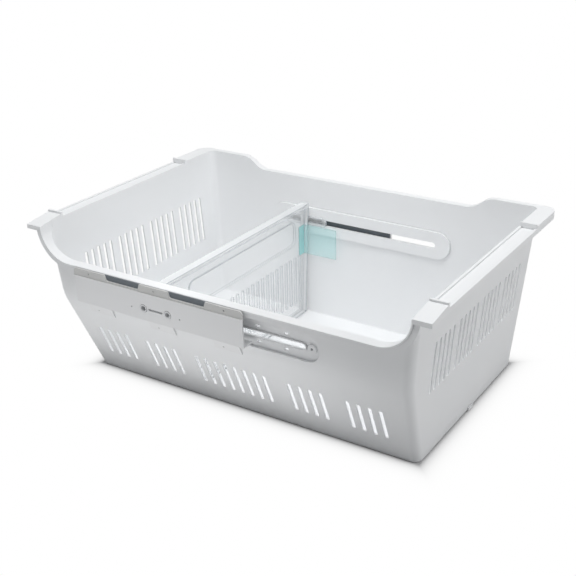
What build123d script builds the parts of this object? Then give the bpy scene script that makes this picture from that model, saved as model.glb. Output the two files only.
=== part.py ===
"""Freezer basket: a moulded tub with a divider that slides along its long walls.

Millimetres, +Z up. X runs along the front wall, Y from the front to the rear.
The origin is at the centre of the box round the whole part, on the surface it stands on.
"""
import os
from math import atan, cos, sin

from build123d import *

os.makedirs("parts", exist_ok=True)

# Tub shell. A lean is the outward run for each millimetre of height.
base_width = 622.0
base_depth = 364.0
side_lean = 0.08
rear_lean = 0.06
front_lower_lean = 0.42
front_upper_lean = 0.06
front_band_height = 71.0
bend_radius = 80.0
wall = 2.5
floor = 3.0
corner_radius = 14.0
base_fillet = 5.0

# Rims
front_rim_height = 229.0
front_dip_depth = 53.0
front_rim_straight = 1.0
front_lip_overhang = 15.4
front_skirt_drop = 11.0
rear_dip_depth = 21.0
rear_corner_inset = 54.0
rear_bend_run = 53.0
rear_lip_overhang = 10.0
rear_skirt_drop = 6.0
lip = 2.5
trim = 8.0

# Side flanges
flange_overhang = 26.4
rail_bead_rise = 2.5
rail_bead_width = 4.0
rail_lip_rise = 1.8
rail_lip_width = 4.0
flange_skirt_drop = 7.0
front_block_length = 53.0
front_block_rise = 6.5
block_rib_width = 4.0
block_rib_rise = 3.0
rear_block_length = 97.0
rear_block_rise = 6.0
flange_corner_radius = 20.0

# Divider slot and the stadium recess round it, in the front and rear walls
recess_length = 362.0
recess_height = 44.0
recess_depth = 5.0
front_slot_drop = 45.0
rear_slot_drop = 79.0
slot_margin = 25.0
slot_width = 10.0
collar_width = 2.0
collar_rise = 2.0
boss_gap = 1.5
boss_diameter = 15.0
boss_rise = 2.5
boss_hole = 4.0
clip_window_width = 7.0
clip_window_height = 4.0
clip_window_margin = 33.5
clip_window_row = 13.0
clip_window_count = 6

# Vents, with chamfered ends. A gap share is the gap between groups for each step inside one.
vent_corner = 1.6
front_vent_counts = (4, 4, 8, 4, 4)
front_vent_gap_share = 2.47
front_vent_margin = 45.0
front_vent_length = 63.0
front_vent_width = 7.0
front_vent_drop = 87.0
side_vent_counts = (5, 5, 5, 5)
side_vent_gap_share = 1.6
side_vent_front_margin = 4.0
side_vent_rear_margin = 42.0
side_vent_length = 86.0
side_vent_width = 7.0
side_vent_drop = 117.0

# Stop lugs at the foot of the side walls
lug_length = 16.0
lug_height = 5.0
lug_rise = 3.0
lug_shift = 1.0

# Divider, at rest near the left end of its travel
divider_stop_gap = 8.0
divider_sheet = 2.5
divider_frame_width = 16.0
divider_frame = 2.5
divider_top_drop = 7.0
divider_foot_clearance = 1.5
divider_rail_drop = 7.0
panel_height = 48.0
panel_radius = 14.0
panel_rise = 2.0
panel_drop = 47.0
panel_front_margin = 63.0
panel_rear_gap = 13.0
grille_count = 22
grille_slot_width = 6.0
grille_corner = 1.8
grille_bottom = 30.0
grille_top_drop = 33.0
grille_front_margin = 17.0
grille_rear_margin = 12.0

# Runners, which carry the divider through the slots
runner_length = 76.0
runner_slot_clearance = 0.6
runner_collar_length = 92.0
runner_collar_height = 17.0
runner_collar = 3.0
runner_face_clearance = 0.5
runner_bridge = 4.5
runner_bridge_height = 17.0
front_pin_diameter = 13.0
front_pin_bore = 9.0
rear_pin_diameter = 8.0
pin_bore_depth = 9.0
pin_spacing = 47.0
front_pin_rise = 7.0
pin_hole_clearance = 0.5
pin_proud = 0.3

# Carriages, outside the walls
carriage_shift = 12.0
carriage_plate = 2.5
carriage_clearance = 0.8
front_carriage_length = 327.0
front_carriage_ledge = 1.5
front_carriage_drop = 15.0
front_hook_gap = 1.0
front_hook_corner = 6.0
window_shift = -1.0
window_length = 72.0
window_inner = 27.0
window_taper = 4.0
window_sill = 2.5
window_corner = 4.0
lower_tab_length = 50.0
lower_tab_margin = 0.5
lower_tab_shift = -12.0
lower_tab_drop = 19.0
lower_tab = 1.5
dot_diameter = 2.5
hook_dot_drop = 6.0
tab_dot_drop = 12.0
tab_dot_shift = -7.0
dimple_drop = 2.0
dimple_depth = 1.0
link_slot_width = 4.0
link_slot_margin = 3.0
rear_carriage_length = 326.0
rear_carriage_height = 44.0
rear_carriage_corner = 4.0

# Dark glide strips on the carriages
glide_strip = 1.5
glide_clearance = 0.5
front_glide_margin = 1.0
rear_glide_height = 24.0
rear_glide_margin = 2.0

# Clear aqua tab in the rear corner of the divider
tab_sheet = 1.0
tab_height = 57.0
tab_drop = 40.0
tab_reach = 70.0
tab_return = 18.0

# Heights that follow from the front rim
rail_height = front_rim_height + front_dip_depth
rear_corner_height = rail_height + rear_block_rise
rear_rim_height = rear_corner_height - rear_dip_depth
bend_height = front_rim_height - front_band_height
front_slot_height = front_rim_height - front_slot_drop
rear_slot_height = rear_rim_height - rear_slot_drop
front_vent_height = bend_height - front_vent_drop
side_vent_height = rail_height - side_vent_drop
divider_top = front_rim_height - divider_top_drop
panel_mid_height = divider_top - panel_drop
grille_top = bend_height - grille_top_drop
front_carriage_bottom = front_slot_height - front_carriage_drop
lower_tab_bottom = bend_height - lower_tab_drop
tab_dot_height = bend_height - tab_dot_drop
tab_top = divider_top - tab_drop
tab_bottom = tab_top - tab_height

# Lengths that follow from the width and from the recess
rear_corner_half_width = base_width / 2 - rear_corner_inset
rear_dip_half_width = rear_corner_half_width - rear_bend_run
front_vent_end = base_width / 2 - front_vent_margin
slot_length = recess_length - 2 * slot_margin
divider_x = runner_length / 2 + divider_stop_gap - slot_length / 2
clip_window_pitch = (slot_length - 2 * clip_window_margin) / (clip_window_count - 1)

# Overall depth, from the front of the carriage hooks to the rear lip
front_run = front_lower_lean * bend_height + front_upper_lean * (front_rim_height - bend_height)
hook_reach = glide_clearance + glide_strip + carriage_plate
front_reach = front_run + front_lip_overhang + hook_reach + front_carriage_ledge
rear_reach = rear_lean * rear_rim_height + rear_lip_overhang
front_foot_y = front_reach - (front_reach + base_depth + rear_reach) / 2
rear_foot_y = front_foot_y + base_depth
base_middle_y = (front_foot_y + rear_foot_y) / 2


def front_y(height):
    """Outer face of the front wall at a height."""
    lower = front_lower_lean * min(height, bend_height)
    upper = front_upper_lean * max(height - bend_height, 0)
    return front_foot_y - lower - upper


def rear_y(height):
    """Outer face of the rear wall at a height."""
    return rear_foot_y + rear_lean * height


def side_x(height):
    """Outer face of the right wall at a height."""
    return base_width / 2 + side_lean * height


def grouped(counts, start, end, gap_share):
    """Centres of a row of slots from start to end, in groups with wider gaps between them."""
    steps = sum(counts) - len(counts) + gap_share * (len(counts) - 1)
    pitch = (end - start) / steps
    places = []
    place = start
    for count in counts:
        places += [place + index * pitch for index in range(count)]
        place = places[-1] + gap_share * pitch
    return places


rim_x = side_x(rail_height) - wall
front_rim_radius = rail_height - front_rim_height - front_rim_straight
flange_x = side_x(rail_height) + flange_overhang
flange_bottom = rail_height - flange_skirt_drop
front_lip_y = front_y(front_rim_height) - front_lip_overhang
rear_lip_y = rear_y(rear_rim_height) + rear_lip_overhang
front_corner_y = front_y(rail_height) + corner_radius
front_block_y = front_lip_y + front_block_length
rear_block_y = rear_lip_y - rear_block_length
shell_top = rear_corner_height + trim
front_tilt = atan(front_upper_lean)
rear_tilt = atan(rear_lean)
slope_tilt = atan(front_lower_lean)
front_vent_plane = Plane(
    origin=(0, front_y(front_vent_height), front_vent_height),
    x_dir=(1, 0, 0),
    z_dir=(0, -cos(slope_tilt), -sin(slope_tilt)),
)
front_band = Plane(
    origin=(0, front_y(front_slot_height), front_slot_height),
    x_dir=(1, 0, 0),
    z_dir=(0, -cos(front_tilt), -sin(front_tilt)),
)
rear_band = Plane(
    origin=(0, rear_y(rear_slot_height), rear_slot_height),
    x_dir=(-1, 0, 0),
    z_dir=(0, cos(rear_tilt), -sin(rear_tilt)),
)

boss_x = slot_length / 2 + collar_width + boss_gap + boss_diameter / 2
collar_face = recess_depth + wall + runner_face_clearance
divider_gap = collar_face + runner_collar
divider_foot = floor + divider_foot_clearance
divider_rail_bottom = divider_top - divider_rail_drop
carriage_x = divider_x + carriage_shift
rear_plate_face = glide_clearance + glide_strip
hook_face_y = front_lip_y - hook_reach
ledge_height = front_rim_height - front_skirt_drop - front_hook_gap
hook_bottom = ledge_height - carriage_plate
plate_face_y = hook_face_y - front_carriage_ledge
front_carriage_standoff = (front_y(ledge_height) - plate_face_y) * cos(front_tilt) - carriage_plate
return_top = front_carriage_bottom + carriage_plate
window_x = carriage_x + window_shift
hook_dot_height = front_rim_height - hook_dot_drop
dimple_row = front_pin_rise - dimple_drop
lower_tab_x = carriage_x + lower_tab_shift
lower_tab_pitch = (front_carriage_length - lower_tab_length) / 2 - abs(lower_tab_shift) - lower_tab_margin
hook_dot_pitch = (window_inner + window_length + front_carriage_length / 2 - window_shift) / 2
tab_heights = (lower_tab_bottom, bend_height, return_top)


def divider_front_y(height):
    """Front edge of the divider, which follows the front wall."""
    return front_y(height) + divider_gap / cos(front_tilt)


def divider_rear_y(height):
    """Rear edge of the divider, which follows the rear wall."""
    return rear_y(height) - divider_gap / cos(rear_tilt)


def carriage_back_y(height):
    """Back face of the front carriage's plate."""
    return front_y(height) - front_carriage_standoff / cos(front_tilt)


def carriage_face_y(height):
    """Outer face of the front carriage's plate."""
    return carriage_back_y(height) - carriage_plate / cos(front_tilt)


tab_y = divider_rear_y(tab_bottom) - divider_frame
panel_front_y = divider_front_y(panel_mid_height) + panel_front_margin
panel_rear_y = tab_y - tab_return - panel_rear_gap
panel_length = panel_rear_y - panel_front_y
panel_place = ((panel_front_y + panel_rear_y) / 2, panel_mid_height)


def tub_block(inset, low, high):
    """Solid tub between two heights, with its walls set in and its corners and foot rounded."""
    with BuildPart() as block:
        with BuildSketch(Plane.YZ) as side_outline:
            with BuildLine():
                Polyline(
                    (front_y(low) + inset, low),
                    (front_y(bend_height) + inset, bend_height),
                    (front_y(high) + inset, high),
                    (rear_y(high) - inset, high),
                    (rear_y(low) - inset, low),
                    close=True,
                )
            make_face()
            fillet(side_outline.vertices().sort_by(Axis.X)[1], bend_radius - inset)
        extrude(amount=flange_x, both=True)
        with BuildSketch(Plane.XZ):
            with BuildLine():
                Polyline(
                    (inset - side_x(low), low),
                    (side_x(low) - inset, low),
                    (side_x(high) - inset, high),
                    (inset - side_x(high), high),
                    close=True,
                )
            make_face()
        extrude(amount=flange_x, both=True, mode=Mode.INTERSECT)
        corners = block.edges().filter_by(lambda edge: abs(edge.tangent_at(0.5).Z) > 0.5)
        fillet(corners, corner_radius - inset)
        fillet(block.edges().group_by(Axis.Z)[0], base_fillet - inset)
    return block.part


def front_dip(grow, top, mode=Mode.ADD):
    """Low front of the rim between its two corner arcs, grown outwards and closed at a top height."""
    half = rim_x + grow
    radius = front_rim_radius + grow
    low = front_rim_height - grow
    with BuildLine() as outline:
        bottom = Line((radius - half, low), (half - radius, low))
        right_arc = JernArc(start=bottom @ 1, tangent=bottom % 1, radius=radius, arc_size=90)
        right = Line(right_arc @ 1, (half, top))
        across = Line(right @ 1, (-half, top))
        left = Line(across @ 1, (-half, low + radius))
        JernArc(start=left @ 1, tangent=left % 1, radius=radius, arc_size=90)
    make_face(outline.edges(), mode=mode)


def rear_rim_line(drop, end):
    """Line of the rear rim between two ends: high corners, S-bends and a low middle."""
    high = rear_corner_height - drop
    low = rear_rim_height - drop
    middle = ((rear_dip_half_width + rear_corner_half_width) / 2, (high + low) / 2)
    for side in (-1, 1):
        turn = (side * middle[0], middle[1])
        Line((side * end, high), (side * rear_corner_half_width, high))
        TangentArc((side * rear_corner_half_width, high), turn, tangent=(-side, 0))
        TangentArc((side * rear_dip_half_width, low), turn, tangent=(side, 0))
    Line((-rear_dip_half_width, low), (rear_dip_half_width, low))


def rear_rim_face(near, far, end):
    """Face between the rear rim line lowered by near and by far, on the current sketch."""
    with BuildLine() as outline:
        rear_rim_line(near, end)
        rear_rim_line(far, end)
        for side in (-1, 1):
            Line((side * end, rear_corner_height - near), (side * end, rear_corner_height - far))
    make_face(outline.edges())


# Right side flange: a troughed rail between a ramped front block and a rear block
with BuildPart() as flange:
    with BuildSketch(Plane.XZ.offset(-rear_block_y)):
        with BuildLine():
            Polyline(
                (rim_x, flange_bottom),
                (rim_x, rail_height + rail_bead_rise),
                (rim_x + rail_bead_width, rail_height + rail_bead_rise),
                (rim_x + rail_bead_width, rail_height),
                (flange_x - rail_lip_width, rail_height),
                (flange_x - rail_lip_width, rail_height + rail_lip_rise),
                (flange_x, rail_height + rail_lip_rise),
                (flange_x, flange_bottom),
                (flange_x - lip, flange_bottom),
                (flange_x - lip, rail_height - lip),
                (rim_x + wall, rail_height - lip),
                (rim_x + wall, flange_bottom),
                close=True,
            )
        make_face()
    extrude(amount=rear_block_y - front_block_y)
    with BuildSketch(Plane.YZ.offset(rim_x)):
        with BuildLine():
            Polyline(
                (front_lip_y, flange_bottom),
                (front_lip_y, rail_height),
                (front_block_y - block_rib_width, rail_height + front_block_rise),
                (front_block_y - block_rib_width, rail_height + front_block_rise + block_rib_rise),
                (front_block_y, rail_height + front_block_rise + block_rib_rise),
                (front_block_y, flange_bottom),
                close=True,
            )
        make_face()
    extrude(amount=flange_x - rim_x)
    with BuildSketch(Plane.YZ.offset(rim_x + wall)):
        with BuildLine():
            Polyline(
                (front_lip_y + lip, flange_bottom),
                (front_lip_y + lip, rail_height - lip),
                (front_block_y - lip, rail_height + front_block_rise - lip),
                (front_block_y - lip, flange_bottom),
                close=True,
            )
        make_face()
    extrude(amount=flange_x - rim_x - wall - lip, mode=Mode.SUBTRACT)
    with BuildSketch(Plane.XY.offset(flange_bottom)) as rear_block_plan:
        with Locations((rim_x, rear_block_y)):
            Rectangle(flange_x - rim_x, rear_block_length, align=(Align.MIN, Align.MIN))
        fillet(rear_block_plan.vertices().sort_by(Axis.X)[-2:].sort_by(Axis.Y)[-1], flange_corner_radius)
    extrude(amount=rear_corner_height - flange_bottom)
    with BuildSketch(Plane.XY.offset(rear_corner_height)):
        with Locations((rim_x, rear_block_y)):
            Rectangle(flange_x - rim_x, block_rib_width, align=(Align.MIN, Align.MIN))
    extrude(amount=block_rib_rise)
    with BuildSketch(Plane.XY.offset(flange_bottom)):
        add(rear_block_plan.sketch_local)
        offset(amount=-lip, mode=Mode.REPLACE)
    extrude(amount=rear_corner_height - lip - flange_bottom, mode=Mode.SUBTRACT)

# The tub, one moulding
outside = tub_block(0, 0, shell_top)
inside = tub_block(wall, floor, shell_top + trim)
with BuildPart() as basket:
    add(outside)
    # The walls are trimmed to the rim: low in front, level at the rails, dipped at the rear
    with BuildSketch(Plane.XZ.offset(-front_corner_y)):
        front_dip(0, shell_top + trim)
    extrude(amount=front_corner_y - front_lip_y, mode=Mode.SUBTRACT)
    with BuildSketch(Plane.XZ.offset(-rear_block_y)):
        with Locations((0, rail_height)):
            Rectangle(2 * flange_x, shell_top, align=(Align.CENTER, Align.MIN))
    extrude(amount=rear_block_y - front_lip_y, mode=Mode.SUBTRACT)
    with BuildSketch(Plane.XZ.offset(-rear_lip_y)):
        rear_rim_face(0, -shell_top, flange_x)
    extrude(amount=rear_block_length, mode=Mode.SUBTRACT)
    # Front lip and its skirt, which follow the rim
    with BuildSketch(Plane.XZ.offset(-front_corner_y)):
        front_dip(lip, rail_height)
        front_dip(0, rail_height, Mode.SUBTRACT)
    extrude(amount=front_corner_y - front_lip_y)
    with BuildSketch(Plane.XZ.offset(-front_lip_y - lip)):
        front_dip(front_skirt_drop, rail_height)
        front_dip(0, rail_height, Mode.SUBTRACT)
    extrude(amount=-lip)
    # Rear lip and its skirt
    with BuildSketch(Plane.XZ.offset(-rear_lip_y)):
        rear_rim_face(0, lip, rim_x + wall)
    extrude(amount=rear_lip_overhang + corner_radius)
    with BuildSketch(Plane.XZ.offset(-rear_lip_y)):
        rear_rim_face(0, rear_skirt_drop, rim_x + wall)
    extrude(amount=lip)
    add(flange.part)
    mirror(flange.part, about=Plane.YZ)
    add(inside, mode=Mode.SUBTRACT)
    # A pad pushed inwards round each divider slot, with a collar on the slot
    for band in (front_band, rear_band):
        with BuildSketch(band.offset(-wall / 2)):
            SlotOverall(recess_length + 2 * wall, recess_height + 2 * wall)
        extrude(amount=-recess_depth - wall / 2)
        with BuildSketch(band):
            SlotOverall(recess_length, recess_height)
        extrude(amount=-recess_depth, mode=Mode.SUBTRACT)
        with BuildSketch(band.offset(-recess_depth)):
            SlotOverall(slot_length + 2 * collar_width, slot_width + 2 * collar_width)
        extrude(amount=collar_rise)
        with BuildSketch(band.offset(-recess_depth)):
            SlotOverall(slot_length, slot_width)
        extrude(amount=recess_depth + wall, both=True, mode=Mode.SUBTRACT)
    # Front recess only: a drilled boss at each end of the slot and two rows of clip windows
    with BuildSketch(front_band.offset(-recess_depth)):
        with Locations((-boss_x, 0), (boss_x, 0)):
            Circle(boss_diameter / 2)
    extrude(amount=boss_rise)
    with BuildSketch(front_band.offset(-recess_depth)):
        with Locations((-boss_x, 0), (boss_x, 0)):
            Circle(boss_hole / 2)
        with GridLocations(clip_window_pitch, 2 * clip_window_row, clip_window_count, 2):
            Rectangle(clip_window_width, clip_window_height)
    extrude(amount=recess_depth + wall, both=True, mode=Mode.SUBTRACT)
    # Vents in the sloped front wall, and through both side walls at once
    with BuildSketch(front_vent_plane) as front_vents:
        front_row = grouped(front_vent_counts, -front_vent_end, front_vent_end, front_vent_gap_share)
        with Locations([(x, 0) for x in front_row]):
            Rectangle(front_vent_width, front_vent_length)
        chamfer(front_vents.vertices(), vent_corner)
    extrude(amount=2 * wall, both=True, mode=Mode.SUBTRACT)
    with BuildSketch(Plane.YZ) as side_vents:
        side_start = front_foot_y + side_vent_front_margin
        side_end = rear_foot_y - side_vent_rear_margin
        side_row = grouped(side_vent_counts, side_start, side_end, side_vent_gap_share)
        with Locations([(y, side_vent_height) for y in side_row]):
            Rectangle(side_vent_width, side_vent_length)
        chamfer(side_vents.vertices(), vent_corner)
    extrude(amount=flange_x, both=True, mode=Mode.SUBTRACT)
    # Stop lugs at the foot of the side walls
    with BuildSketch(Plane.YZ.offset(side_x(base_fillet) - wall / 2)):
        with Locations((base_middle_y + lug_shift, base_fillet)):
            Rectangle(lug_length, lug_height)
    lug = extrude(amount=wall / 2 + lug_rise)
    mirror(lug, about=Plane.YZ)

# Divider: a clear moulded sheet in a frame, with a top rail, a raised panel and a grille
divider_sketch = Plane.YZ.offset(divider_x)
with BuildPart() as divider_panel:
    with BuildSketch(divider_sketch) as divider_outline:
        with BuildLine():
            Polyline(
                (divider_front_y(divider_foot), divider_foot),
                (divider_front_y(bend_height), bend_height),
                (divider_front_y(divider_top), divider_top),
                (divider_rear_y(divider_top), divider_top),
                (divider_rear_y(divider_foot), divider_foot),
                close=True,
            )
        make_face()
    extrude(amount=divider_frame_width / 2, both=True)
    with BuildSketch(divider_sketch):
        add(divider_outline.sketch_local)
        offset(amount=-divider_frame, kind=Kind.INTERSECTION, mode=Mode.REPLACE)
    extrude(amount=divider_frame_width, both=True, mode=Mode.SUBTRACT)
    with BuildSketch(divider_sketch):
        add(divider_outline.sketch_local)
    extrude(amount=divider_sheet / 2, both=True)
    # Side walls of the top rail
    for side in (-1, 1):
        with BuildSketch(divider_sketch.offset(side * (divider_frame_width - divider_frame) / 2)):
            with BuildLine():
                Polyline(
                    (divider_front_y(divider_top), divider_top),
                    (divider_rear_y(divider_top), divider_top),
                    (divider_rear_y(divider_rail_bottom), divider_rail_bottom),
                    (divider_front_y(divider_rail_bottom), divider_rail_bottom),
                    close=True,
                )
            make_face()
        extrude(amount=divider_frame / 2, both=True)
    # Raised panel, hollow behind
    with BuildSketch(divider_sketch.offset(divider_sheet / 2)):
        with Locations(panel_place):
            RectangleRounded(panel_length, panel_height, panel_radius)
    extrude(amount=panel_rise)
    with BuildSketch(divider_sketch.offset(-divider_sheet / 2)):
        with Locations(panel_place):
            RectangleRounded(
                panel_length - 2 * divider_sheet,
                panel_height - 2 * divider_sheet,
                panel_radius - divider_sheet,
            )
    extrude(amount=panel_rise, mode=Mode.SUBTRACT)
    # Grille
    with BuildSketch(divider_sketch) as grille:
        grille_start = divider_front_y(grille_bottom) + grille_front_margin
        grille_end = divider_rear_y(grille_bottom) - grille_rear_margin
        grille_pitch = (grille_end - grille_start) / (grille_count - 1)
        grille_row = [grille_start + index * grille_pitch for index in range(grille_count)]
        with Locations([(y, (grille_bottom + grille_top) / 2) for y in grille_row]):
            Rectangle(grille_slot_width, grille_top - grille_bottom)
        chamfer(grille.vertices(), grille_corner)
    extrude(amount=divider_sheet, both=True, mode=Mode.SUBTRACT)

# Front runner: a collar inside the wall, a tongue through the slot and a bridge with two hollow pins
runner_tongue = slot_width - 2 * runner_slot_clearance
pin_xs = [carriage_x + side * pin_spacing / 2 for side in (-1, 1)]
front_pin_places = [(x, front_pin_rise) for x in pin_xs]
with BuildPart() as front_runner:
    with BuildSketch(front_band.offset(-collar_face)):
        with Locations((divider_x, 0)):
            SlotOverall(runner_collar_length, runner_collar_height)
    extrude(amount=-runner_collar)
    with BuildSketch(front_band.offset(-collar_face)):
        with Locations((divider_x, 0)):
            SlotOverall(runner_length, runner_tongue)
    extrude(amount=collar_face + front_carriage_standoff - runner_bridge)
    with BuildSketch(front_band.offset(front_carriage_standoff)):
        with Locations((carriage_x, front_pin_rise)):
            SlotOverall(pin_spacing + runner_bridge_height, runner_bridge_height)
    extrude(amount=-runner_bridge)
    with BuildSketch(front_band.offset(front_carriage_standoff)):
        with Locations(front_pin_places):
            Circle(front_pin_diameter / 2)
    extrude(amount=carriage_plate + pin_proud)
    with BuildSketch(front_band.offset(front_carriage_standoff + carriage_plate + pin_proud)):
        with Locations(front_pin_places):
            Circle(front_pin_bore / 2)
    extrude(amount=-pin_bore_depth, mode=Mode.SUBTRACT)

# Rear runner
rear_pin_places = [(-x, 0) for x in pin_xs]
with BuildPart() as rear_runner:
    with BuildSketch(rear_band.offset(-collar_face)):
        with Locations((-divider_x, 0)):
            SlotOverall(runner_collar_length, runner_collar_height)
    extrude(amount=-runner_collar)
    with BuildSketch(rear_band.offset(-collar_face)):
        with Locations((-divider_x, 0)):
            SlotOverall(runner_length, runner_tongue)
    extrude(amount=collar_face + rear_plate_face)
    with BuildSketch(rear_band.offset(rear_plate_face)):
        with Locations(rear_pin_places):
            Circle(rear_pin_diameter / 2)
    extrude(amount=carriage_plate + pin_proud)

# Front carriage: a hook band in front of the skirt, a plate that steps out below it and tabs on the slope
with BuildPart() as front_carriage:
    with BuildSketch(Plane.YZ.offset(carriage_x)):
        with BuildLine():
            Polyline(
                (carriage_face_y(front_carriage_bottom), front_carriage_bottom),
                (plate_face_y, ledge_height),
                (hook_face_y, ledge_height),
                (hook_face_y, front_rim_height),
                (hook_face_y + carriage_plate, front_rim_height),
                (hook_face_y + carriage_plate, hook_bottom),
                (carriage_back_y(hook_bottom), hook_bottom),
                (carriage_back_y(return_top), return_top),
                (front_y(return_top) - carriage_clearance, return_top),
                (front_y(front_carriage_bottom) - carriage_clearance, front_carriage_bottom),
                close=True,
            )
        make_face()
    extrude(amount=front_carriage_length / 2, both=True)
    # Tabs that lie along the sloped wall
    with BuildSketch(Plane.YZ.offset(lower_tab_x - lower_tab_length / 2)):
        with BuildLine():
            Polyline(
                *[(front_y(z) - carriage_clearance, z) for z in tab_heights],
                *[(front_y(z) - carriage_clearance - lower_tab, z) for z in reversed(tab_heights)],
                close=True,
            )
        make_face()
    lower = extrude(amount=lower_tab_length, mode=Mode.PRIVATE)
    with Locations([(step * lower_tab_pitch, 0, 0) for step in (-1, 0, 1)]):
        add(lower)
    # Windows in the hook band, wider at the top, with rounded feet
    with BuildSketch(Plane.XZ.offset(-hook_face_y)) as windows:
        for side in (-1, 1):
            near = window_x + side * window_inner
            far = window_x + side * (window_inner + window_length)
            sill = ledge_height + window_sill
            with BuildLine() as window_line:
                Polyline(
                    (near, front_rim_height + window_sill),
                    (near + side * window_taper, sill),
                    (far - side * window_taper, sill),
                    (far, front_rim_height + window_sill),
                    close=True,
                )
            make_face(window_line.edges())
        fillet(windows.vertices().group_by(Axis.Y)[0], window_corner)
    extrude(amount=-carriage_plate, mode=Mode.SUBTRACT)
    hook_corners = front_carriage.edges().filter_by(Axis.Y).group_by(Axis.Z)[-1].sort_by(Axis.X)
    fillet((hook_corners[0], hook_corners[-1]), front_hook_corner)
    # Pin holes joined by a narrow slot
    with BuildSketch(front_band.offset(front_carriage_standoff)):
        with Locations(front_pin_places):
            Circle(front_pin_diameter / 2 + pin_hole_clearance)
        with Locations((carriage_x, front_pin_rise)):
            SlotOverall(pin_spacing - front_pin_diameter - 2 * link_slot_margin, link_slot_width)
    extrude(amount=carriage_plate, both=True, mode=Mode.SUBTRACT)
    # Dots through the hook band and the lower tabs, and two dimples beside the pins
    with BuildSketch(Plane.XZ.offset(-hook_face_y)):
        with Locations([(window_x + step * hook_dot_pitch, hook_dot_height) for step in (-1, 0, 1)]):
            Circle(dot_diameter / 2)
    extrude(amount=-carriage_plate, mode=Mode.SUBTRACT)
    with BuildSketch(front_vent_plane):
        tab_dot_y = (tab_dot_height - front_vent_height) / cos(slope_tilt)
        tab_dot_x = lower_tab_x + tab_dot_shift
        with Locations([(tab_dot_x + step * lower_tab_pitch, tab_dot_y) for step in (-1, 0, 1)]):
            Circle(dot_diameter / 2)
    extrude(amount=carriage_clearance + 2 * lower_tab, mode=Mode.SUBTRACT)
    with BuildSketch(front_band.offset(front_carriage_standoff + carriage_plate)):
        with Locations([(carriage_x + side * pin_spacing, dimple_row) for side in (-1, 1)]):
            Circle(dot_diameter / 2)
    extrude(amount=-dimple_depth, mode=Mode.SUBTRACT)

# Rear carriage: a flat plate behind the rear slot
with BuildPart() as rear_carriage:
    with BuildSketch(rear_band.offset(rear_plate_face)):
        with Locations((-carriage_x, 0)):
            RectangleRounded(rear_carriage_length, rear_carriage_height, rear_carriage_corner)
        with Locations(rear_pin_places):
            Circle(rear_pin_diameter / 2 + pin_hole_clearance, mode=Mode.SUBTRACT)
    extrude(amount=carriage_plate)

# Glide strips
with BuildPart() as front_glide_strip:
    with BuildSketch(Plane.XZ.offset(-hook_face_y - carriage_plate)):
        with Locations((carriage_x, (ledge_height + front_rim_height) / 2)):
            Rectangle(
                front_carriage_length - 2 * front_hook_corner,
                front_rim_height - ledge_height - 2 * front_glide_margin,
            )
    extrude(amount=-glide_strip)

with BuildPart() as rear_glide_strip:
    with BuildSketch(rear_band.offset(rear_plate_face)):
        with Locations((-carriage_x, 0)):
            Rectangle(rear_carriage_length - 2 * rear_glide_margin, rear_glide_height)
        with Locations((-divider_x, 0)):
            SlotOverall(
                runner_length + 2 * runner_slot_clearance,
                runner_tongue + 2 * runner_slot_clearance,
                mode=Mode.SUBTRACT,
            )
    extrude(amount=-glide_strip)

# Aqua tab: one leg on the divider's sheet, the other along its rear frame and past it
with BuildPart() as divider_tab:
    with BuildSketch(Plane.XY.offset(tab_bottom)):
        with Locations((divider_x + divider_sheet / 2, tab_y)):
            Rectangle(tab_reach, tab_sheet, align=(Align.MIN, Align.MAX))
            Rectangle(tab_sheet, tab_return, align=(Align.MIN, Align.MAX))
    extrude(amount=tab_top - tab_bottom)

pieces = {
    "basket": basket,
    "divider_panel": divider_panel,
    "front_runner": front_runner,
    "rear_runner": rear_runner,
    "front_carriage": front_carriage,
    "rear_carriage": rear_carriage,
    "front_glide_strip": front_glide_strip,
    "rear_glide_strip": rear_glide_strip,
    "divider_tab": divider_tab,
}
for name, piece in pieces.items():
    piece.part.label = name
    export_step(piece.part, f"parts/{name}.step")
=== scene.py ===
"""Dresses the freezer basket: finishes, studio and camera, all in the frame of its solids."""
import logging
from dataclasses import dataclass, field
from enum import Enum
from math import radians

import bpy
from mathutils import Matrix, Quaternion, Vector

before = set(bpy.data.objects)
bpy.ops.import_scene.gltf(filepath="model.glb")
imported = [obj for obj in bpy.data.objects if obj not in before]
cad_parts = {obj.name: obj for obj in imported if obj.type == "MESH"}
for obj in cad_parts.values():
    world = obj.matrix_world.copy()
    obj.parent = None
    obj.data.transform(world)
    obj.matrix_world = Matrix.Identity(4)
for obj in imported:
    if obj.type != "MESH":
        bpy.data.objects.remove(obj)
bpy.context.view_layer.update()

IMAGE_SIDE = 576
PLASTIC_IOR = 1.49
SATIN_GLOSS = 0.25
UNIT_SPAN = (0.0, 1.0)
FLIPPED_SPAN = (1.0, 0.0)
NODE_SPACING = 190.0
NOISE_SPAN = (0.3, 0.7)
GRAIN_DETAIL = 2.0
FLOW_DETAIL = 3.0
CLOUD_DETAIL = 4.0
SCUFF_DETAIL = 5.0
SCUFFS_PER_CLOUD = 9.0
GRAIN_STRENGTH = 0.35
EDGE_SAMPLES = 6
EDGE_SPAN = (0.80, 0.99)
RIM_SPAN = (0.35, 0.85)
HEIGHT_BLUR = 0.0005
# Ambient-occlusion settings for the painted shade that darkens creases and gaps.
CREASE_SAMPLES = 8
CREASE_REACH = 0.006
CREASE_SPAN = (0.25, 0.70)

log = logging.getLogger("freezer_basket")

Colour = tuple[float, float, float]
Point = tuple[float, float, float]
Span = tuple[float, float]


class Node(Enum):
    """Names of the solids, as the frame holds them."""

    BASKET = "basket"
    DIVIDER_PANEL = "divider_panel"
    FRONT_RUNNER = "front_runner"
    REAR_RUNNER = "rear_runner"
    FRONT_CARRIAGE = "front_carriage"
    REAR_CARRIAGE = "rear_carriage"
    FRONT_GLIDE = "front_glide_strip"
    REAR_GLIDE = "rear_glide_strip"
    DIVIDER_TAB = "divider_tab"


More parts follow.
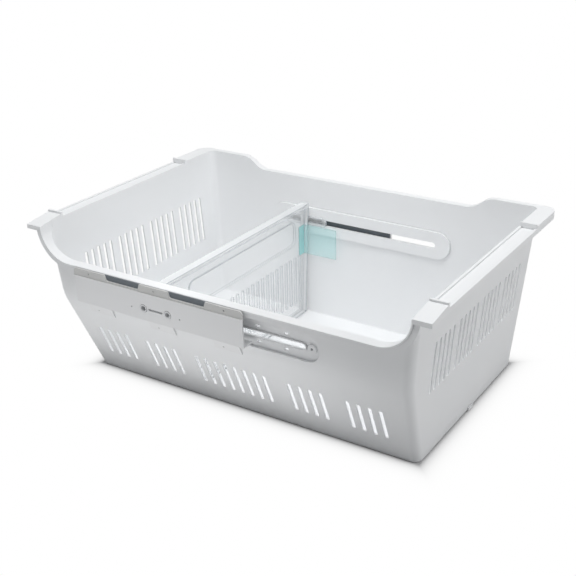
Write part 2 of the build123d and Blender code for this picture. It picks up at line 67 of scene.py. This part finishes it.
class Grain(Enum):
    """Grades of moulded surface: how many grains a metre, and how deep in metres."""

    POLISHED = (500.0, 0.00002)
    SATIN = (900.0, 0.00005)
    SPARKED = (1500.0, 0.00009)


class NodeSketch:
    """A small helper that lays out one node tree from left to right."""

    def __init__(self, owner: bpy.types.Material | bpy.types.World) -> None:
        """Empties the node tree of a material or a world.

        Args:
            owner: What the tree belongs to.
        """
        owner.use_nodes = True
        self.owner = owner
        self.tree = owner.node_tree
        self.tree.nodes.clear()
        self.column = 0

    @classmethod
    def for_material(cls, name: str) -> "NodeSketch":
        """Starts an empty material of that name and returns its sketch."""
        return cls(bpy.data.materials.new(name))

    def add(self, kind: str, **values: object) -> bpy.types.Node:
        """Adds a node and sets its properties.

        Args:
            kind: The node's type name in Blender.
            values: Properties of the node, by name.

        Returns:
            The new node.
        """
        node = self.tree.nodes.new(kind)
        node.location = (self.column * NODE_SPACING, 0.0)
        self.column += 1
        for key, value in values.items():
            setattr(node, key, value)
        return node

    def join(self, source: bpy.types.NodeSocket, target: bpy.types.NodeSocket) -> None:
        """Links an output to an input."""
        self.tree.links.new(source, target)

    def object_point(self) -> bpy.types.NodeSocket:
        """Returns the surface point in the object's own metres."""
        return self.add("ShaderNodeTexCoord").outputs["Object"]

    def noise(
        self, point: bpy.types.NodeSocket, scale: float, detail: float
    ) -> bpy.types.NodeSocket:
        """Adds a cloud of noise.

        Args:
            point: The point that the noise is read at.
            scale: Waves for each metre.
            detail: Octaves of finer noise.

        Returns:
            The noise, from 0 to 1.
        """
        node = self.add("ShaderNodeTexNoise")
        node.inputs["Scale"].default_value = scale
        node.inputs["Detail"].default_value = detail
        self.join(point, node.inputs["Vector"])
        return node.outputs["Fac"]

    def between(
        self, value: bpy.types.NodeSocket, start: Span, end: Span
    ) -> bpy.types.NodeSocket:
        """Maps one range of numbers onto another.

        Args:
            value: The number to map.
            start: The range that it comes from.
            end: The range that it goes to.

        Returns:
            The mapped number, held inside the second range.
        """
        node = self.add("ShaderNodeMapRange")
        node.inputs["From Min"].default_value, node.inputs["From Max"].default_value = start
        node.inputs["To Min"].default_value, node.inputs["To Max"].default_value = end
        self.join(value, node.inputs["Value"])
        return node.outputs["Result"]

    def blend(
        self, share: bpy.types.NodeSocket, first: Colour, second: Colour
    ) -> bpy.types.NodeSocket:
        """Mixes two colours.

        Args:
            share: How much of the second colour shows.
            first: Colour at a share of 0.
            second: Colour at a share of 1.

        Returns:
            The mixed colour.
        """
        node = self.add("ShaderNodeMix", data_type="RGBA")
        colours = [socket for socket in node.inputs if socket.type == "RGBA"]
        for socket, colour in zip(colours, (first, second)):
            socket.default_value = (*colour, 1.0)
        self.join(share, node.inputs["Factor"])
        return next(socket for socket in node.outputs if socket.type == "RGBA")

    def tint(
        self, share: bpy.types.NodeSocket, base: bpy.types.NodeSocket, colour: Colour
    ) -> bpy.types.NodeSocket:
        """Mixes a plain colour into one that already varies.

        Args:
            share: How much of the plain colour shows.
            base: The colour at a share of 0.
            colour: The plain colour, at a share of 1.

        Returns:
            The mixed colour.
        """
        mixed = self.blend(share, colour, colour)
        first = next(socket for socket in mixed.node.inputs if socket.type == "RGBA")
        self.join(base, first)
        return mixed

    def above(self, point: bpy.types.NodeSocket, height: float) -> bpy.types.NodeSocket:
        """Returns 1 above a height of the object, in metres, and 0 below it."""
        split = self.add("ShaderNodeSeparateXYZ")
        self.join(point, split.inputs[0])
        return self.between(split.outputs["Z"], (height, height + HEIGHT_BLUR), UNIT_SPAN)

    def creases(self, own: bool) -> bpy.types.NodeSocket:
        """Finds creases and narrow gaps, as the mask for painted shade in them.

        Args:
            own: Whether only the piece itself shuts a place in, and not its neighbours.

        Returns:
            1 deep in a fold or narrow gap, and 0 on open faces.
        """
        shut_in = self.add(
            "ShaderNodeAmbientOcclusion", samples=CREASE_SAMPLES, only_local=own
        )
        shut_in.inputs["Distance"].default_value = CREASE_REACH
        return self.between(shut_in.outputs["AO"], CREASE_SPAN, FLIPPED_SPAN)

    def edges(self, reach: float) -> bpy.types.NodeSocket:
        """Finds the edges of a piece.

        Args:
            reach: How far from an edge it still shows, in metres.

        Returns:
            1 at an edge, and 0 on open faces.
        """
        soft = self.add("ShaderNodeBevel", samples=EDGE_SAMPLES)
        soft.inputs["Radius"].default_value = reach
        turn = self.add("ShaderNodeVectorMath", operation="DOT_PRODUCT")
        self.join(soft.outputs["Normal"], turn.inputs[0])
        self.join(self.add("ShaderNodeNewGeometry").outputs["Normal"], turn.inputs[1])
        return self.between(turn.outputs["Value"], EDGE_SPAN, FLIPPED_SPAN)

    def grain(
        self, point: bpy.types.NodeSocket, grade: Grain, edge: float
    ) -> bpy.types.NodeSocket:
        """Adds the fine bump that a mould leaves, over softened edges.

        Args:
            point: The point that the grain is read at.
            grade: How fine and deep the grain is.
            edge: Radius of the mould's edges, in metres.

        Returns:
            The bumped normal.
        """
        scale, depth = grade.value
        soft_edge = self.add("ShaderNodeBevel", samples=EDGE_SAMPLES)
        soft_edge.inputs["Radius"].default_value = edge
        bump = self.add("ShaderNodeBump")
        bump.inputs["Strength"].default_value = GRAIN_STRENGTH
        bump.inputs["Distance"].default_value = depth
        self.join(self.noise(point, scale, GRAIN_DETAIL), bump.inputs["Height"])
        self.join(soft_edge.outputs["Normal"], bump.inputs["Normal"])
        return bump.outputs["Normal"]

    def finish(self, shader: bpy.types.Node, kind: str = "Material") -> None:
        """Links the shader to the tree's output.

        Args:
            shader: The last shader node.
            kind: What the output is for, a Material or a World.
        """
        output = self.add(f"ShaderNodeOutput{kind}")
        self.join(shader.outputs[0], output.inputs["Surface"])


@dataclass(frozen=True)
class MouldedPlastic:
    """Opaque moulded plastic with cloudy colour, fine grain and soft edges, with painted shade
    darkening its creases and, where given, painted shade above a height.
    """

    name: str
    colour: Colour
    cloud: Colour
    roughness: Span
    grade: Grain
    edge: float = 0.0006
    # Painted shade: the colour that creases and narrow gaps are darkened towards, standing in for
    # the shade that falls in them.
    crease_shade: Colour = (0.52, 0.53, 0.54)
    own_crease_shade: bool = True
    # Painted shade: a darker colour above a height, standing in for shade under the rim.
    shade_band: Colour | None = None
    shade_band_height: float = 0.0
    cloud_scale: float = 7.0

    def build(self) -> bpy.types.Material:
        """Builds the material and returns it."""
        sketch = NodeSketch.for_material(self.name)
        point = sketch.object_point()
        clouds = sketch.noise(point, self.cloud_scale, CLOUD_DETAIL)
        clouds = sketch.between(clouds, NOISE_SPAN, UNIT_SPAN)
        scuffs = sketch.noise(point, self.cloud_scale * SCUFFS_PER_CLOUD, SCUFF_DETAIL)
        shader = sketch.add("ShaderNodeBsdfPrincipled")
        shader.inputs["IOR"].default_value = PLASTIC_IOR
        shader.inputs["Specular IOR Level"].default_value = SATIN_GLOSS
        tone = sketch.blend(clouds, self.colour, self.cloud)
        # Painted shade: above the height the colour is darkened, standing in for shade.
        if self.shade_band:
            tone = sketch.tint(sketch.above(point, self.shade_band_height), tone, self.shade_band)
        # Painted shade: creases and narrow gaps are darkened towards the crease shade colour.
        creases = sketch.creases(self.own_crease_shade)
        sketch.join(sketch.tint(creases, tone, self.crease_shade), shader.inputs["Base Color"])
        roughness = sketch.between(scuffs, NOISE_SPAN, self.roughness)
        sketch.join(roughness, shader.inputs["Roughness"])
        sketch.join(sketch.grain(point, self.grade, self.edge), shader.inputs["Normal"])
        sketch.finish(shader)
        return sketch.owner


@dataclass(frozen=True)
class ClearPlastic:
    """Clear moulded sheet: see-through on its faces, denser on its rims, with painted shade along
    its edges.
    """

    name: str
    face: Colour
    rim: Colour
    # Painted shade: dark colour drawn along the sheet's edges, standing in for the dark lines that
    # refraction makes there.
    edge_shade: Colour
    opacity: tuple[float, float, float]
    roughness: Span
    sheet_axis: str = "X"
    edge: float = 0.0012
    flow_scale: float = 11.0

    def build(self) -> bpy.types.Material:
        """Builds the material and returns it."""
        sketch = NodeSketch.for_material(self.name)
        point = sketch.object_point()
        flow = sketch.noise(point, self.flow_scale, FLOW_DETAIL)
        flow = sketch.between(flow, NOISE_SPAN, UNIT_SPAN)
        split = sketch.add("ShaderNodeSeparateXYZ")
        sketch.join(sketch.add("ShaderNodeNewGeometry").outputs["Normal"], split.inputs[0])
        across = sketch.add("ShaderNodeMath", operation="ABSOLUTE")
        sketch.join(split.outputs[self.sheet_axis], across.inputs[0])
        rims = sketch.between(across.outputs[0], RIM_SPAN, FLIPPED_SPAN)
        # Painted shade: edges are darkened and made denser.
        edge_shade_mask = sketch.edges(self.edge)
        on_face, on_rim, on_edge_shade = self.opacity
        dense = sketch.add("ShaderNodeMath", operation="MAXIMUM")
        sketch.join(sketch.between(rims, UNIT_SPAN, (on_face, on_rim)), dense.inputs[0])
        sketch.join(sketch.between(edge_shade_mask, UNIT_SPAN, (0.0, on_edge_shade)), dense.inputs[1])
        shader = sketch.add("ShaderNodeBsdfPrincipled")
        shader.inputs["IOR"].default_value = PLASTIC_IOR
        tone = sketch.blend(rims, self.face, self.rim)
        sketch.join(sketch.tint(edge_shade_mask, tone, self.edge_shade), shader.inputs["Base Color"])
        sketch.join(dense.outputs[0], shader.inputs["Alpha"])
        roughness = sketch.between(flow, UNIT_SPAN, self.roughness)
        sketch.join(roughness, shader.inputs["Roughness"])
        sketch.finish(shader)
        return sketch.owner


Finish = MouldedPlastic | ClearPlastic

# Each moulded finish darkens its creases with painted shade.
TUB_WHITE = MouldedPlastic(
    "tub_white", (0.938, 0.946, 0.954), (0.925, 0.936, 0.946), (0.34, 0.46), Grain.SATIN
)
# Painted shade: the carriages' hook band above 0.2165 m is darkened to stand in for the shade under
# the basket's rim.
CARRIAGE_GREY = MouldedPlastic(
    "carriage_grey", (0.92, 0.925, 0.93), (0.90, 0.905, 0.915), (0.34, 0.46), Grain.SPARKED,
    edge=0.0004, shade_band=(0.70, 0.70, 0.69), shade_band_height=0.2165,
)
# Painted shadow: near-black colour in gaps against other parts, such as around the pins in the
# carriages' holes.
RUNNER_WHITE = MouldedPlastic(
    "runner_white", (0.84, 0.85, 0.86), (0.82, 0.83, 0.845), (0.28, 0.38), Grain.POLISHED,
    edge=0.0004, crease_shade=(0.06, 0.07, 0.07), own_crease_shade=False,
)
# Painted shade: the glide strips are coloured dark slate to stand in for the deep shade seen
# through the carriage windows and the rear slot.
GLIDE_PAINTED_SHADE = MouldedPlastic(
    "glide_painted_shade", (0.190, 0.212, 0.235), (0.170, 0.192, 0.212), (0.30, 0.42), Grain.SPARKED,
    edge=0.0003,
)
# The clear finishes take painted shade along their edges from their third colour.
DIVIDER_CLEAR = ClearPlastic(
    "divider_clear", (0.96, 0.975, 0.985), (0.94, 0.955, 0.965), (0.20, 0.25, 0.30),
    (0.22, 0.68, 0.86), (0.10, 0.18), edge=0.0016,
)
TAB_AQUA = ClearPlastic(
    "tab_aqua", (0.52, 1.0, 1.0), (0.34, 0.90, 0.90), (0.02, 0.34, 0.31),
    (0.18, 0.36, 0.60), (0.12, 0.22), sheet_axis="Y",
)
RUNNER_CLEAR = ClearPlastic(
    "runner_clear", (0.95, 0.965, 0.975), (0.86, 0.885, 0.905), (0.34, 0.39, 0.44),
    (0.22, 0.50, 0.80), (0.10, 0.18), sheet_axis="Y",
)


def dress(node: Node, material: bpy.types.Material) -> None:
    """Gives a solid's object a finish.

    Args:
        node: The solid to dress.
        material: The finish that it gets.
    """
    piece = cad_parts[node.value]
    if not piece.material_slots:
        piece.data.materials.append(material)
    for slot in piece.material_slots:
        slot.material = material
    log.info("%s dressed in %s", node.value, material.name)


@dataclass
class Tub:
    """The moulded tub."""

    finish: Finish = TUB_WHITE

    def build(self) -> None:
        """Dresses the tub."""
        dress(Node.BASKET, self.finish.build())


@dataclass
class Divider:
    """The sliding divider with its runners, carriages, glide strips and tab."""

    finishes: dict[Node, Finish] = field(
        default_factory=lambda: {
            Node.DIVIDER_PANEL: DIVIDER_CLEAR,
            Node.FRONT_RUNNER: RUNNER_WHITE,
            Node.REAR_RUNNER: RUNNER_CLEAR,
            Node.FRONT_CARRIAGE: CARRIAGE_GREY,
            Node.REAR_CARRIAGE: CARRIAGE_GREY,
            # The glide strips' dark colour is painted shade.
            Node.FRONT_GLIDE: GLIDE_PAINTED_SHADE,
            Node.REAR_GLIDE: GLIDE_PAINTED_SHADE,
            Node.DIVIDER_TAB: TAB_AQUA,
        }
    )

    def build(self) -> None:
        """Dresses each solid of the divider, with one material for each finish."""
        made: dict[str, bpy.types.Material] = {}
        for node, finish in self.finishes.items():
            if finish.name not in made:
                made[finish.name] = finish.build()
            dress(node, made[finish.name])


@dataclass
class SoftBox:
    """A square area lamp that looks at a point. A hidden one lights but isn't seen or reflected."""

    name: str
    place: Point
    aim: Point
    side: float
    watts: float
    hidden: bool = False

    def build(self) -> None:
        """Hangs the lamp and turns it to its aim."""
        data = bpy.data.lights.new(self.name, "AREA")
        data.size = self.side
        data.energy = self.watts
        lamp = bpy.data.objects.new(self.name, data)
        lamp.visible_camera = lamp.visible_glossy = lamp.visible_transmission = not self.hidden
        bpy.context.scene.collection.objects.link(lamp)
        lamp.location = self.place
        gaze = Vector(self.aim) - Vector(self.place)
        lamp.rotation_euler = gaze.to_track_quat("-Z", "Y").to_euler()


@dataclass
class Studio:
    """Pale floor, white surroundings and soft lamps, one of them as a bright card on the floor."""

    floor_side: float = 14.0
    floor_colour: Colour = (0.62, 0.62, 0.62)
    foot_half: Span = (0.311, 0.182)
    foot_y: float = 0.033
    shade_reach: float = 0.009
    near_white: float = 0.0
    sky_colour: Colour = (0.96, 0.98, 1.0)
    sky_overhead: float = 0.48
    sky_level: float = 0.07
    sky_band: Span = (0.30, 0.80)
    lamps: list[SoftBox] = field(
        default_factory=lambda: [
            SoftBox(
                "top_box", (0.15, -0.35, 2.4), (0.0, 0.03, 0.1), 1.7, 27.5, hidden=True
            ),
            SoftBox(
                "fill_box", (0.02, -0.10, 0.44), (-0.12, 0.21, 0.22), 0.34, 0.29, hidden=True
            ),
            SoftBox("left_box", (-0.70, -1.00, 0.34), (-0.25, -0.15, 0.12), 0.5, 0.5),
            SoftBox(
                "floor_card", (-0.10, -0.52, 0.012), (-0.10, -0.52, 1.0), 0.6, 0.62, hidden=True
            ),
            SoftBox("right_box", (2.0, 0.3, 1.0), (0.2, 0.0, 0.15), 0.9, 8.5),
        ]
    )

    @staticmethod
    def seen_directly(sketch: NodeSketch) -> bpy.types.NodeSocket:
        """Returns 1 where the camera, a reflection or a clear piece sees the surface, else 0."""
        path = sketch.add("ShaderNodeLightPath")
        share = path.outputs["Is Camera Ray"]
        for kind in ("Is Glossy Ray", "Is Transmission Ray"):
            most = sketch.add("ShaderNodeMath", operation="MAXIMUM")
            sketch.join(share, most.inputs[0])
            sketch.join(path.outputs[kind], most.inputs[1])
            share = most.outputs[0]
        return share

    def away_from_foot(self, sketch: NodeSketch) -> bpy.types.NodeSocket:
        """Measures how far a point of the floor is from the basket's foot.

        Args:
            sketch: The floor's node tree.

        Returns:
            The distance as a negative count of shade reaches, above 0 under the foot.
        """
        split = sketch.add("ShaderNodeSeparateXYZ")
        sketch.join(sketch.object_point(), split.inputs[0])
        gaps = []
        for axis, middle, half in zip("XY", (0.0, self.foot_y), self.foot_half):
            across = sketch.add("ShaderNodeMath", operation="SUBTRACT")
            across.inputs[1].default_value = middle
            sketch.join(split.outputs[axis], across.inputs[0])
            off = sketch.add("ShaderNodeMath", operation="ABSOLUTE")
            sketch.join(across.outputs[0], off.inputs[0])
            gap = sketch.add("ShaderNodeMath", operation="SUBTRACT")
            gap.inputs[1].default_value = half
            sketch.join(off.outputs[0], gap.inputs[0])
            gaps.append(gap.outputs[0])
        most = sketch.add("ShaderNodeMath", operation="MAXIMUM")
        for gap, target in zip(gaps, most.inputs):
            sketch.join(gap, target)
        reaches = sketch.add("ShaderNodeMath", operation="DIVIDE")
        reaches.inputs[1].default_value = -self.shade_reach
        sketch.join(most.outputs[0], reaches.inputs[0])
        return reaches.outputs[0]

    def build_floor(self) -> None:
        """Lays the floor: it keeps the shadow near the basket and is plain white further out."""
        bpy.ops.object.select_all(action="DESELECT")
        bpy.ops.mesh.primitive_plane_add(size=self.floor_side)
        floor = bpy.context.object
        floor.name = "studio_floor"
        sketch = NodeSketch.for_material("studio_floor")
        matt = sketch.add("ShaderNodeBsdfDiffuse")
        matt.inputs["Color"].default_value = (*self.floor_colour, 1.0)
        glow = sketch.add("ShaderNodeEmission")
        fade = sketch.add("ShaderNodeMath", operation="EXPONENT")
        sketch.join(self.away_from_foot(sketch), fade.inputs[0])
        white = sketch.between(fade.outputs[0], UNIT_SPAN, (1.0, self.near_white))
        share = sketch.add("ShaderNodeMath", operation="MULTIPLY")
        sketch.join(self.seen_directly(sketch), share.inputs[0])
        sketch.join(white, share.inputs[1])
        mix = sketch.add("ShaderNodeMixShader")
        sketch.join(share.outputs[0], mix.inputs["Fac"])
        sketch.join(matt.outputs[0], mix.inputs[1])
        sketch.join(glow.outputs[0], mix.inputs[2])
        sketch.finish(mix)
        floor.data.materials.append(sketch.owner)

    def build_sky(self) -> None:
        """Sets the surroundings: white to look at, and as light brighter overhead."""
        world = bpy.data.worlds.new("studio_sky")
        bpy.context.scene.world = world
        sketch = NodeSketch(world)
        white = sketch.add("ShaderNodeBackground")
        white.inputs["Color"].default_value = (1.0, 1.0, 1.0, 1.0)
        light = sketch.add("ShaderNodeBackground")
        light.inputs["Color"].default_value = (*self.sky_colour, 1.0)
        heading = sketch.add("ShaderNodeSeparateXYZ")
        sketch.join(sketch.add("ShaderNodeTexCoord").outputs["Generated"], heading.inputs[0])
        levels = (self.sky_level, self.sky_overhead)
        strength = sketch.between(heading.outputs["Z"], self.sky_band, levels)
        sketch.join(strength, light.inputs["Strength"])
        mix = sketch.add("ShaderNodeMixShader")
        sketch.join(self.seen_directly(sketch), mix.inputs["Fac"])
        sketch.join(light.outputs[0], mix.inputs[1])
        sketch.join(white.outputs[0], mix.inputs[2])
        sketch.finish(mix, "World")

    def build(self) -> None:
        """Builds the whole studio."""
        self.build_floor()
        self.build_sky()
        for lamp in self.lamps:
            lamp.build()
        bpy.context.scene.view_settings.view_transform = "Standard"
        log.info("studio built with %d lamps", len(self.lamps))


@dataclass
class Camera:
    """The view: above the right front corner, looking down into the tub."""

    place: Point = (0.8282, -1.28805, 0.8540)
    aim: Point = (0.0, -0.00605, 0.1296)
    lens: float = 62.71
    roll: float = radians(-1.112)
    centre_offset: Span = (3.72, 16.55)

    def build(self) -> None:
        """Places the camera and makes it the scene's own."""
        data = bpy.data.cameras.new("camera")
        data.lens = self.lens
        data.shift_x = -self.centre_offset[0] / IMAGE_SIDE
        data.shift_y = self.centre_offset[1] / IMAGE_SIDE
        camera = bpy.data.objects.new("camera", data)
        bpy.context.scene.collection.objects.link(camera)
        camera.location = self.place
        gaze = Vector(self.aim) - Vector(self.place)
        turn = gaze.to_track_quat("-Z", "Y") @ Quaternion((0.0, 0.0, 1.0), self.roll)
        camera.rotation_euler = turn.to_euler()
        bpy.context.scene.camera = camera


def main() -> None:
    """Builds the basket's parts in order, then the studio and the camera."""
    logging.basicConfig(level=logging.INFO, format="%(name)s: %(message)s")
    for assembly in (Tub(), Divider(), Studio(), Camera()):
        assembly.build()
        log.info("%s done", type(assembly).__name__)


if __name__ == "__main__":
    main()
